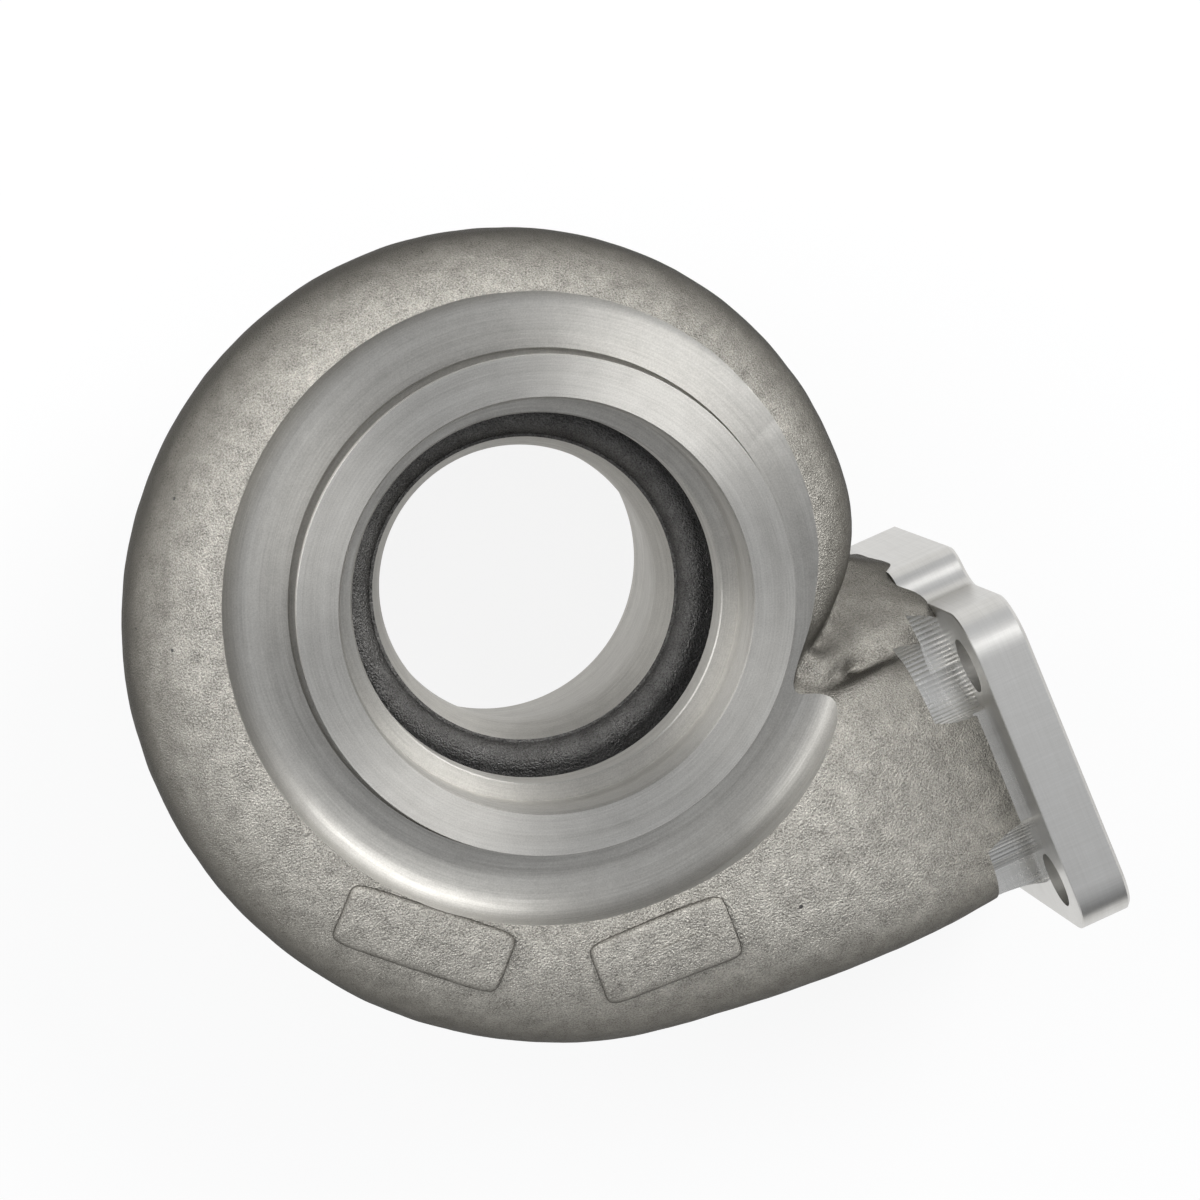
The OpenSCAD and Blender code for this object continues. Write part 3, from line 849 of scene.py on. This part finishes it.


# %% [markdown]
# ## Cast skin
# The cast skin's colour holds painted shade. One colour ramp runs on the grain's tone times
# the height of the normal, so what faces up or down is painted lighter and the steep flanks
# are painted darker. The skin inside the passage has much darker colours, which are painted shade.

# %% The cast skin, outside and inside
CAST_GRAINS = 2.1
# Dark and light colour, and depth of the grain in millimetres
CAST = {"cast_skin": ((0.13, 0.123, 0.107), (0.76, 0.727, 0.655), 0.42),
        # The inside's dark colours are painted shade for the passage, the nozzle's walls, the
        # shroud's nose and the pits.
        "cast_inside": ((0.06, 0.058, 0.055), (0.28, 0.275, 0.265), 0.36)}
for name, (dark, light, depth) in CAST.items():
    tree, shader = start_finish(name, Metallic=0.85, Specular_Tint=(0.15, 0.15, 0.16, 1))
    sand = used(tree, grain, {"Grains per mm": CAST_GRAINS})
    facing = node(tree, "SeparateXYZ", {"Vector": node(tree, "TexCoord").outputs["Normal"]})
    # Painted shade: steep flanks, whose normal is nearly level, are painted darker than what faces
    # up or down.
    painted_flank_shade = spread(tree, calc(tree, "ABSOLUTE", facing.outputs["Z"]), 0.2, 0.92, 0.0, 1.0)
    shades(tree, shader, calc(tree, "MULTIPLY", sand["Tone"], painted_flank_shade), dark, light)
    tree.links.new(spread(tree, sand["Tone"], 0, 1, 0.46, 0.31), shader.inputs["Roughness"])
    relief(tree, shader, sand["Height"], depth)

# %% [markdown]
# ## Machined faces
# A turned face is a stack of fine rings, and it reflects a lamp as two bright wedges that
# meet on the axis. Rings could be drawn in the colour alone, but only an anisotropic
# highlight moves with the eye. Its tangent points away from the axis. The milled faces are
# plainer: their lines run straight, and the plunged walls are the roughest.

# %% The turned faces
TURNED_GRAINS = 2.2
tree, shader = start_finish("turned_face", Metallic=1.0, Anisotropic=0.85)
x, y, z = node(tree, "SeparateXYZ", {"Vector": millimetres(tree)}).outputs
r = calc(tree, "SQRT", calc(tree, "ADD", calc(tree, "MULTIPLY", x, x),
                            calc(tree, "MULTIPLY", y, y)))
across = node(tree, "CombineXYZ", {"X": calc(tree, "ADD", r, z), "Y": calc(tree, "DIVIDE", x, r),
                                   "Z": calc(tree, "DIVIDE", y, r)}).outputs["Vector"]
turned = used(tree, lines, {"Across": across})
speckle = used(tree, grain, {"Grains per mm": TURNED_GRAINS})
tone = calc(tree, "ADD", calc(tree, "MULTIPLY", turned["Tone"], 0.45),
            calc(tree, "MULTIPLY", speckle["Tone"], 0.55))
shades(tree, shader, tone, (0.36, 0.348, 0.325), (0.66, 0.645, 0.605))
tree.links.new(spread(tree, turned["Tone"], 0, 1, 0.5, 0.36), shader.inputs["Roughness"])
relief(tree, shader, turned["Height"], 0.012)
outward = node(tree, "CombineXYZ", {"X": x, "Y": y, "Z": 0.0}).outputs["Vector"]
tree.links.new(outward, shader.inputs["Tangent"])

# %% The milled faces
# Dark and light colour, depth of the lines in millimetres and roughness
MILLED = {"milled_face": ((0.54, 0.53, 0.505), (0.68, 0.67, 0.645), 0.004, 0.3),
          "plunged_wall": ((0.52, 0.51, 0.485), (0.76, 0.75, 0.72), 0.012, 0.24)}
for name, (dark, light, depth, roughness) in MILLED.items():
    tree, shader = start_finish(name, Metallic=1.0)
    across = node(tree, "VectorMath", {0: millimetres(tree), 1: (0.04, 1.0, 1.0)},
                  operation="MULTIPLY").outputs["Vector"]
    milled = used(tree, lines, {"Across": across})
    along = node(tree, "VectorMath", {0: millimetres(tree), 1: (1.0, 0.02, 0.02)},
                 operation="MULTIPLY").outputs["Vector"]
    edge_on = used(tree, lines, {"Across": along})
    tone = calc(tree, "MULTIPLY", calc(tree, "ADD", milled["Tone"], edge_on["Tone"]), 0.5)
    shades(tree, shader, tone, dark, light)
    tree.links.new(spread(tree, tone, 0, 1, roughness + 0.08, roughness),
                   shader.inputs["Roughness"])
    relief(tree, shader, milled["Height"], depth)

# %% Hand the casting to the frame
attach(housing, "root")
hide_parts("turbine_housing")

# %% [markdown]
# ## Floor, light and camera
# In a studio the part lies on a white sheet between two soft boxes. The sheet looks white
# to the camera and in the metal's reflections, while its own paper is a plain grey that
# takes the shadow, so no lamp has to be turned up for it. The room is brighter on one side,
# which gives the machined faces something to reflect. The camera stands far away, a little
# to one side of the axis, so that the circles stay almost round.

# %% Floor
FLOOR_WHITE = 0.88
deselect()
bpy.ops.mesh.primitive_plane_add(size=12)
floor = bpy.context.object
floor.name = "floor"
paper = bpy.data.materials.new("floor_paper")
paper.use_nodes = True
sheet = paper.node_tree
shader = sheet.nodes["Principled BSDF"]
shader.inputs["Base Color"].default_value = (0.85, 0.85, 0.85, 1)
shader.inputs["Roughness"].default_value = 0.9
rays = node(sheet, "LightPath").outputs
seen = calc(sheet, "MAXIMUM", calc(sheet, "MAXIMUM", rays["Is Camera Ray"], rays["Is Glossy Ray"]),
            rays["Is Transmission Ray"])
white = node(sheet, "Emission", {"Color": (1, 1, 1, 1), "Strength": 1.0}).outputs["Emission"]
mixed = node(sheet, "MixShader", {"Fac": calc(sheet, "MULTIPLY", seen, FLOOR_WHITE)})
sheet.links.new(shader.outputs["BSDF"], mixed.inputs[1])
sheet.links.new(white, mixed.inputs[2])
sheet.links.new(mixed.outputs["Shader"], sheet.nodes["Material Output"].inputs["Surface"])
floor.data.materials.append(paper)

# %% Lamps and world
# Place and size in metres, and power in watts
LAMPS = {"right": ((1.05, 0.5, 1.15), 0.9, 17), "left": ((-1.1, 1.0, 0.95), 1.3, 18)}


def soft_box(name, spot, size, power):
    """A square lamp that is turned to the middle of the housing."""
    lamp = bpy.data.lights.new(name, "AREA")
    lamp.size, lamp.energy = size, power
    lamp_obj = bpy.data.objects.new(name, lamp)
    bpy.context.scene.collection.objects.link(lamp_obj)
    lamp_obj.location = spot
    aim = Vector((0, 0, 0.06)) - Vector(spot)
    lamp_obj.rotation_euler = aim.to_track_quat("-Z", "Y").to_euler()


for name, (spot, size, power) in LAMPS.items():
    soft_box(name, spot, size, power)
world = bpy.context.scene.world or bpy.data.worlds.new("studio")
bpy.context.scene.world = world
world.use_nodes = True
room = world.node_tree
towards = node(room, "TexCoord").outputs["Generated"]
upward = node(room, "SeparateXYZ", {"Vector": towards}).outputs["Z"]
window = node(room, "VectorMath", {0: towards, 1: (-0.45, 0.89, 0.0)},
              operation="DOT_PRODUCT").outputs["Value"]
side = spread(room, window, -1.0, 1.0, 0.0, 1.0)
level = calc(room, "ADD", calc(room, "MULTIPLY", side, calc(room, "SUBTRACT", 1.0, upward)),
             calc(room, "MULTIPLY", 0.8, upward))
ceiling = node(room, "ValToRGB", {"Fac": level})
ceiling.color_ramp.elements[0].color = (0.0, 0.0, 0.0, 1)
ceiling.color_ramp.elements[1].color = (0.97, 0.99, 1.03, 1)
room.links.new(ceiling.outputs["Color"], room.nodes["Background"].inputs["Color"])
room.nodes["Background"].inputs["Strength"].default_value = 0.8

# %% Camera
CAMERA_SENSOR, CAMERA_LENS = 36, 113.13
CAMERA_PLACE = Vector((-72.611, 128.624, 944.970)) * MM
CAMERA_RIGHT = (0.9094021, -0.3866806, 0.1531858)
CAMERA_UP = (0.4039147, 0.9089194, -0.1035303)
CAMERA_BACK = (-0.0992004, 0.1560246, 0.9827592)
camera = bpy.data.objects.new("camera", bpy.data.cameras.new("camera"))
bpy.context.scene.collection.objects.link(camera)
camera.data.sensor_width, camera.data.lens = CAMERA_SENSOR, CAMERA_LENS
turn = Matrix((CAMERA_RIGHT, CAMERA_UP, CAMERA_BACK)).transposed().to_4x4()
camera.matrix_world = Matrix.Translation(CAMERA_PLACE) @ turn
bpy.context.scene.camera = camera
bpy.context.scene.view_settings.view_transform = "Standard"

# %% Finish
bpy.context.view_layer.update()
